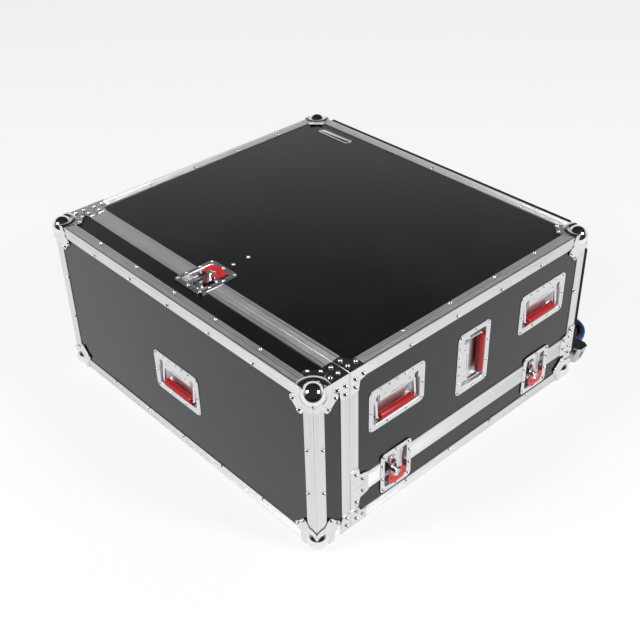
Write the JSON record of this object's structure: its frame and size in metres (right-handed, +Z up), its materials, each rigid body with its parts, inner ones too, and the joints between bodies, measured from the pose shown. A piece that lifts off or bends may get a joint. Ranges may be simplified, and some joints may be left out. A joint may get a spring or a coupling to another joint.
{
  "type": "mixer flight case",
  "caption": "Road case for a mixing desk: base tray, lift-off lid and pull-off front cover in edged laminate, with ball corners, recessed handles, butterfly latches and swivel casters",
  "frame": {"origin": "middle of the bounding box in plan, on the floor that the ball corners stand on", "axes": "X across the case, front cover toward -Y, casters toward +Y, Z up"},
  "size_m": [1.001, 1.0635, 0.4625],
  "materials": {
    "black_laminate": "black laminate on plywood, soft gloss",
    "edging": "satin extrusion with fine ridges",
    "foam": "dark grey foam",
    "ball_corner": "polished ball on zinc-bright plates",
    "handle_dish": "bright pressed steel",
    "grip": "plain red moulded grip on a steel bail",
    "latch_dish": "bright pressed steel",
    "wing": "red coated wing",
    "latch_metal": "bright plated steel",
    "wheel": "blue elastic tyre on a dark hub",
    "fork": "dark grey-violet paint",
    "zinc": "zinc-plated pressed steel"
  },
  "bodies": {
    "base": {"base_shell": "black_laminate", "base_edging": "edging", "base_foam": "foam", "corner_base_left": "ball_corner", "corner_base_right": "ball_corner", "caster_board": "black_laminate", "caster_plate_left": "zinc", "caster_plate_right": "zinc", "latch_dish_right_front": "latch_dish", "latch_dish_right_rear": "latch_dish", "latch_dish_left_front": "latch_dish", "latch_dish_left_rear": "latch_dish"},
    "lid": {"lid_top_back": "black_laminate", "lid_left_panel": "black_laminate", "lid_right_panel": "black_laminate", "lid_edging": "edging", "corner_lid_left": "ball_corner", "corner_lid_right": "ball_corner", "latch_dish_top": "latch_dish", "handle_dish_right_front": "handle_dish", "handle_dish_right_middle": "handle_dish", "handle_dish_right_rear": "handle_dish", "handle_dish_left_front": "handle_dish", "handle_dish_left_middle": "handle_dish", "handle_dish_left_rear": "handle_dish"},
    "cover": {"cover_shell": "black_laminate", "cover_edging": "edging", "handle_dish_front": "handle_dish", "corner_cover_lower_right": "ball_corner", "corner_cover_lower_left": "ball_corner", "corner_cover_upper_right": "ball_corner", "corner_cover_upper_left": "ball_corner"},
    "grip_right_front": {"handle_right_front": "grip"},
    "grip_right_middle": {"handle_right_middle": "grip"},
    "grip_right_rear": {"handle_right_rear": "grip"},
    "grip_left_front": {"handle_left_front": "grip"},
    "grip_left_middle": {"handle_left_middle": "grip"},
    "grip_left_rear": {"handle_left_rear": "grip"},
    "grip_front": {"handle_front": "grip"},
    "rotor_right_front": {"latch_rotor_right_front": "latch_metal"},
    "wing_right_front": {"latch_wing_right_front": "wing"},
    "hook_right_front": {"latch_hook_right_front": "latch_metal"},
    "rotor_right_rear": {"latch_rotor_right_rear": "latch_metal"},
    "wing_right_rear": {"latch_wing_right_rear": "wing"},
    "hook_right_rear": {"latch_hook_right_rear": "latch_metal"},
    "rotor_left_front": {"latch_rotor_left_front": "latch_metal"},
    "wing_left_front": {"latch_wing_left_front": "wing"},
    "hook_left_front": {"latch_hook_left_front": "latch_metal"},
    "rotor_left_rear": {"latch_rotor_left_rear": "latch_metal"},
    "wing_left_rear": {"latch_wing_left_rear": "wing"},
    "hook_left_rear": {"latch_hook_left_rear": "latch_metal"},
    "rotor_top": {"latch_rotor_top": "latch_metal"},
    "wing_top": {"latch_wing_top": "wing"},
    "hook_top": {"latch_hook_top": "latch_metal"},
    "fork_right": {"caster_fork_right": "fork"},
    "wheel_right": {"caster_wheel_right": "wheel"},
    "pedal_right": {"caster_pedal_right": "zinc"},
    "fork_left": {"caster_fork_left": "fork"},
    "wheel_left": {"caster_wheel_left": "wheel"},
    "pedal_left": {"caster_pedal_left": "zinc"}
  },
  "joints": [
    {"name": "lid_lift", "type": "slide", "parent": "base", "child": "lid", "axis": [0, 0, 1], "range_m": [0, 0.45]},
    {"name": "cover_pull", "type": "slide", "parent": "base", "child": "cover", "axis": [0, -1, 0], "range_m": [0, 0.3]},
    {"name": "handle_right_front_swing", "type": "hinge", "parent": "lid", "child": "grip_right_front", "pos_m": [0.481, -0.27475, 0.3385], "axis": [0, -1, 0], "range_deg": [0, 90], "stiffness_Nm_per_rad": 0.3},
    {"name": "handle_right_middle_swing", "type": "hinge", "parent": "lid", "child": "grip_right_middle", "pos_m": [0.481, -0.04925, 0.2775], "axis": [0, 0, -1], "range_deg": [0, 90], "stiffness_Nm_per_rad": 0.3},
    {"name": "handle_right_rear_swing", "type": "hinge", "parent": "lid", "child": "grip_right_rear", "pos_m": [0.481, 0.23625, 0.3385], "axis": [0, -1, 0], "range_deg": [0, 90], "stiffness_Nm_per_rad": 0.3},
    {"name": "handle_left_front_swing", "type": "hinge", "parent": "lid", "child": "grip_left_front", "pos_m": [-0.481, -0.27475, 0.3385], "axis": [0, 1, 0], "range_deg": [0, 90], "stiffness_Nm_per_rad": 0.3},
    {"name": "handle_left_middle_swing", "type": "hinge", "parent": "lid", "child": "grip_left_middle", "pos_m": [-0.481, -0.04925, 0.2775], "axis": [0, 0, 1], "range_deg": [0, 90], "stiffness_Nm_per_rad": 0.3},
    {"name": "handle_left_rear_swing", "type": "hinge", "parent": "lid", "child": "grip_left_rear", "pos_m": [-0.481, 0.23625, 0.3385], "axis": [0, 1, 0], "range_deg": [0, 90], "stiffness_Nm_per_rad": 0.3},
    {"name": "handle_front_swing", "type": "hinge", "parent": "cover", "child": "grip_front", "pos_m": [0, -0.51225, 0.235], "axis": [-1, 0, 0], "range_deg": [0, 90], "stiffness_Nm_per_rad": 0.3},
    {"name": "latch_right_front_turn", "type": "hinge", "parent": "base", "child": "rotor_right_front", "pos_m": [0.49, -0.27475, 0.087], "axis": [1, 0, 0], "range_deg": [0, 180]},
    {"name": "latch_right_front_fold", "type": "hinge", "parent": "rotor_right_front", "child": "wing_right_front", "pos_m": [0.4942, -0.27475, 0.087], "axis": [0, -1, 0], "range_deg": [0, 90]},
    {"name": "latch_right_front_draw", "type": "slide", "parent": "base", "child": "hook_right_front", "axis": [0, 0, 1], "range_m": [0, 0.01]},
    {"name": "latch_right_rear_turn", "type": "hinge", "parent": "base", "child": "rotor_right_rear", "pos_m": [0.49, 0.23625, 0.087], "axis": [1, 0, 0], "range_deg": [0, 180]},
    {"name": "latch_right_rear_fold", "type": "hinge", "parent": "rotor_right_rear", "child": "wing_right_rear", "pos_m": [0.4942, 0.23625, 0.087], "axis": [0, -1, 0], "range_deg": [0, 90]},
    {"name": "latch_right_rear_draw", "type": "slide", "parent": "base", "child": "hook_right_rear", "axis": [0, 0, 1], "range_m": [0, 0.01]},
    {"name": "latch_left_front_turn", "type": "hinge", "parent": "base", "child": "rotor_left_front", "pos_m": [-0.49, -0.27475, 0.087], "axis": [-1, 0, 0], "range_deg": [0, 180]},
    {"name": "latch_left_front_fold", "type": "hinge", "parent": "rotor_left_front", "child": "wing_left_front", "pos_m": [-0.4942, -0.27475, 0.087], "axis": [0, 1, 0], "range_deg": [0, 90]},
    {"name": "latch_left_front_draw", "type": "slide", "parent": "base", "child": "hook_left_front", "axis": [0, 0, 1], "range_m": [0, 0.01]},
    {"name": "latch_left_rear_turn", "type": "hinge", "parent": "base", "child": "rotor_left_rear", "pos_m": [-0.49, 0.23625, 0.087], "axis": [-1, 0, 0], "range_deg": [0, 180]},
    {"name": "latch_left_rear_fold", "type": "hinge", "parent": "rotor_left_rear", "child": "wing_left_rear", "pos_m": [-0.4942, 0.23625, 0.087], "axis": [0, 1, 0], "range_deg": [0, 90]},
    {"name": "latch_left_rear_draw", "type": "slide", "parent": "base", "child": "hook_left_rear", "axis": [0, 0, 1], "range_m": [0, 0.01]},
    {"name": "latch_top_turn", "type": "hinge", "parent": "lid", "child": "rotor_top", "pos_m": [0, -0.38875, 0.452], "axis": [0, 0, 1], "range_deg": [0, 180]},
    {"name": "latch_top_fold", "type": "hinge", "parent": "rotor_top", "child": "wing_top", "pos_m": [0, -0.38875, 0.4562], "axis": [1, 0, 0], "range_deg": [0, 90]},
    {"name": "latch_top_draw", "type": "slide", "parent": "lid", "child": "hook_top", "axis": [0, -1, 0], "range_m": [0, 0.01]},
    {"name": "caster_right_swivel", "type": "hinge", "parent": "base", "child": "fork_right", "pos_m": [0.382, 0.40675, 0.076], "axis": [0, 1, 0], "continuous": true},
    {"name": "caster_right_roll", "type": "hinge", "parent": "fork_right", "child": "wheel_right", "pos_m": [0.41581, 0.48175, 0.06694], "axis": [0.2588, 0, 0.9659], "continuous": true},
    {"name": "caster_right_brake", "type": "hinge", "parent": "fork_right", "child": "pedal_right", "pos_m": [0.41484, 0.42385, 0.0672], "axis": [0.2588, 0, 0.9659], "range_deg": [0, 6]},
    {"name": "caster_left_swivel", "type": "hinge", "parent": "base", "child": "fork_left", "pos_m": [-0.382, 0.40675, 0.076], "axis": [0, 1, 0], "continuous": true},
    {"name": "caster_left_roll", "type": "hinge", "parent": "fork_left", "child": "wheel_left", "pos_m": [-0.41581, 0.48175, 0.06694], "axis": [0.2588, 0, -0.9659], "continuous": true},
    {"name": "caster_left_brake", "type": "hinge", "parent": "fork_left", "child": "pedal_left", "pos_m": [-0.41484, 0.42385, 0.0672], "axis": [0.2588, 0, -0.9659], "range_deg": [0, 6]}
  ],
  "couplings": [
    {"joint": "latch_right_front_draw", "follows": "latch_right_front_turn", "m_per_rad": 0.00318},
    {"joint": "latch_right_rear_draw", "follows": "latch_right_rear_turn", "m_per_rad": 0.00318},
    {"joint": "latch_left_front_draw", "follows": "latch_left_front_turn", "m_per_rad": 0.00318},
    {"joint": "latch_left_rear_draw", "follows": "latch_left_rear_turn", "m_per_rad": 0.00318},
    {"joint": "latch_top_draw", "follows": "latch_top_turn", "m_per_rad": 0.00318}
  ]
}
